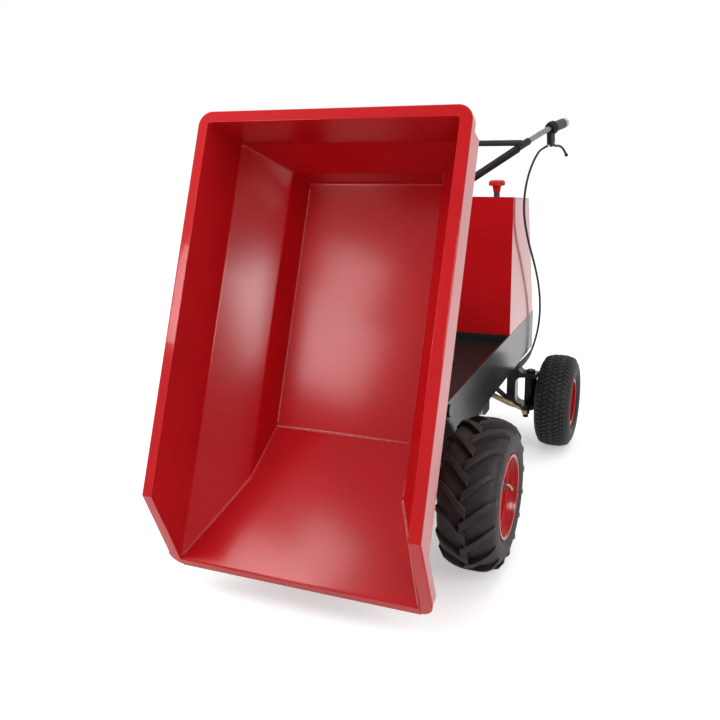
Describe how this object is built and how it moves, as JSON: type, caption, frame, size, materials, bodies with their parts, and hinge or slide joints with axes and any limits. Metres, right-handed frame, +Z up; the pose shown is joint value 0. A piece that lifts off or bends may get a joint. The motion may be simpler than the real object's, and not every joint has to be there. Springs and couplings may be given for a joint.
{
  "type": "walk-behind power dumper",
  "caption": "Walk-behind power dumper with a forward-tipping sheet-steel bucket, lugged front drive wheels, steered rear wheels, a closed battery housing and a handlebar on a column.",
  "frame": {"origin": "on the ground, under the middle of the machine's bounding box", "axes": "+Z up; +Y from the bucket towards the operator's end; +X towards the operator's left hand when walking behind the machine and facing the bucket"},
  "size_m": [0.91, 1.7468, 1.1914],
  "materials": {
    "red_paint": "gloss red coat on folded and welded sheet steel",
    "black_paint": "gloss black coat on plate, tube and castings",
    "bright_steel": "bright zinc-plated steel",
    "bronze": "plain sintered bronze",
    "yellow_zinc": "yellow-passivated zinc on steel rod",
    "tyre_rubber": "dull black tyre rubber",
    "moulded_rubber": "matt moulded rubber",
    "cable_jacket": "smooth black jacket",
    "black_plastic": "matt black moulding",
    "red_plastic": "gloss red moulding",
    "cast_aluminium": "bare finned aluminium"
  },
  "bodies": {
    "chassis": {"housing_shell": "red_paint", "housing_lid": "red_paint", "rear_panel": "red_paint", "side_rails": "black_paint", "deck_plate": "black_paint", "cross_members": "black_paint", "latch_brackets": "black_paint", "steering_bearer": "black_paint", "axle_housing": "black_paint", "gear_case": "black_paint", "drive_motor": "black_paint", "axle_hangers": "black_paint", "axle_stays": "black_paint", "brake_drum": "black_paint", "axle_braces": "black_paint", "axle_forks": "black_paint", "upper_bearer": "black_paint", "hinge_pin": "bright_steel", "axle_fasteners": "bright_steel", "kingpins": "bright_steel", "column_bushes": "bronze", "bump_stops": "moulded_rubber", "brake_cable": "cable_jacket", "batteries": "black_plastic", "stop_switch": "black_plastic", "controller": "cast_aluminium"},
    "bucket": {"bucket_shell": "red_paint", "bucket_rim": "red_paint", "bucket_ribs": "red_paint", "hinge_lugs": "red_paint", "hinge_bushes": "bronze"},
    "latch": {"latch_lever": "bright_steel"},
    "left_front_wheel": {"left_front_tyre": "tyre_rubber", "left_front_rim": "red_paint", "left_front_hub": "bright_steel"},
    "right_front_wheel": {"right_front_tyre": "tyre_rubber", "right_front_rim": "red_paint", "right_front_hub": "bright_steel"},
    "handlebar": {"steering_column": "black_paint", "pitman_arm": "black_paint", "handlebar_frame": "black_paint", "handle_tubes": "bright_steel", "left_grip": "moulded_rubber", "bar_clamps": "black_paint", "lever_fittings": "bright_steel"},
    "left_steer": {"left_knuckle": "black_paint"},
    "right_steer": {"right_knuckle": "black_paint"},
    "left_link": {"left_tie_rod": "yellow_zinc"},
    "right_link": {"right_tie_rod": "yellow_zinc"},
    "left_rear_wheel": {"left_rear_tyre": "tyre_rubber", "left_rear_rim": "red_paint", "left_rear_bearings": "bright_steel"},
    "right_rear_wheel": {"right_rear_tyre": "tyre_rubber", "right_rear_rim": "red_paint", "right_rear_bearings": "bright_steel"},
    "throttle": {"throttle_grip": "moulded_rubber"},
    "brake": {"brake_lever": "black_paint"},
    "stop_button": {"stop_knob": "red_plastic", "knob_stem": "black_plastic"}
  },
  "joints": [
    {"name": "bucket_tip", "type": "hinge", "parent": "chassis", "child": "bucket", "pos_m": [0, -0.35227, 0.42], "axis": [-1, 0, 0], "range_deg": [0, 66.8]},
    {"name": "latch_turn", "type": "hinge", "parent": "chassis", "child": "latch", "pos_m": [0, 0.21673, 0.438], "axis": [1, 0, 0], "range_deg": [0, 20]},
    {"name": "left_front_spin", "type": "hinge", "parent": "chassis", "child": "left_front_wheel", "pos_m": [0.35, -0.36127, 0.203], "axis": [1, 0, 0], "continuous": true},
    {"name": "right_front_spin", "type": "hinge", "parent": "chassis", "child": "right_front_wheel", "pos_m": [-0.35, -0.36127, 0.203], "axis": [1, 0, 0], "continuous": true},
    {"name": "steering", "type": "hinge", "parent": "chassis", "child": "handlebar", "pos_m": [0, 0.56073, 0.6], "axis": [0, 0, 1], "range_deg": [-30, 30], "deforming": ["brake_cable"]},
    {"name": "left_knuckle_turn", "type": "hinge", "parent": "chassis", "child": "left_steer", "pos_m": [0.293, 0.56073, 0.195], "axis": [0, 0, 1], "range_deg": [-30, 30]},
    {"name": "right_knuckle_turn", "type": "hinge", "parent": "chassis", "child": "right_steer", "pos_m": [-0.293, 0.56073, 0.195], "axis": [0, 0, 1], "range_deg": [-30, 30]},
    {"name": "left_link_turn", "type": "hinge", "parent": "handlebar", "child": "left_link", "pos_m": [0, 0.48073, 0.256], "axis": [0, 0, 1], "range_deg": [-30, 30]},
    {"name": "right_link_turn", "type": "hinge", "parent": "handlebar", "child": "right_link", "pos_m": [0, 0.48073, 0.22], "axis": [0, 0, 1], "range_deg": [-30, 30]},
    {"name": "left_rear_spin", "type": "hinge", "parent": "left_steer", "child": "left_rear_wheel", "pos_m": [0.3925, 0.56073, 0.1655], "axis": [1, 0, 0], "continuous": true},
    {"name": "right_rear_spin", "type": "hinge", "parent": "right_steer", "child": "right_rear_wheel", "pos_m": [-0.3925, 0.56073, 0.1655], "axis": [1, 0, 0], "continuous": true},
    {"name": "throttle_twist", "type": "hinge", "parent": "handlebar", "child": "throttle", "pos_m": [-0.29, 0.68973, 1.10911], "axis": [-0.2364, 0.9616, 0.1397], "range_deg": [0, 45], "stiffness_Nm_per_rad": 0.6, "springref_deg": -20.05},
    {"name": "brake_pull", "type": "hinge", "parent": "handlebar", "child": "brake", "pos_m": [0.30213, 0.73909, 1.06377], "axis": [0.9711, -0.2387, 0], "range_deg": [0, 24], "stiffness_Nm_per_rad": 1.5, "springref_deg": -11.46},
    {"name": "stop_push", "type": "slide", "parent": "chassis", "child": "stop_button", "axis": [0, 0, 1], "range_m": [-0.008, 0]}
  ],
  "couplings": [
    {"joint": "left_knuckle_turn", "follows": "steering", "ratio": 1},
    {"joint": "right_knuckle_turn", "follows": "steering", "ratio": 1},
    {"joint": "left_link_turn", "follows": "steering", "ratio": -1},
    {"joint": "right_link_turn", "follows": "steering", "ratio": -1}
  ]
}
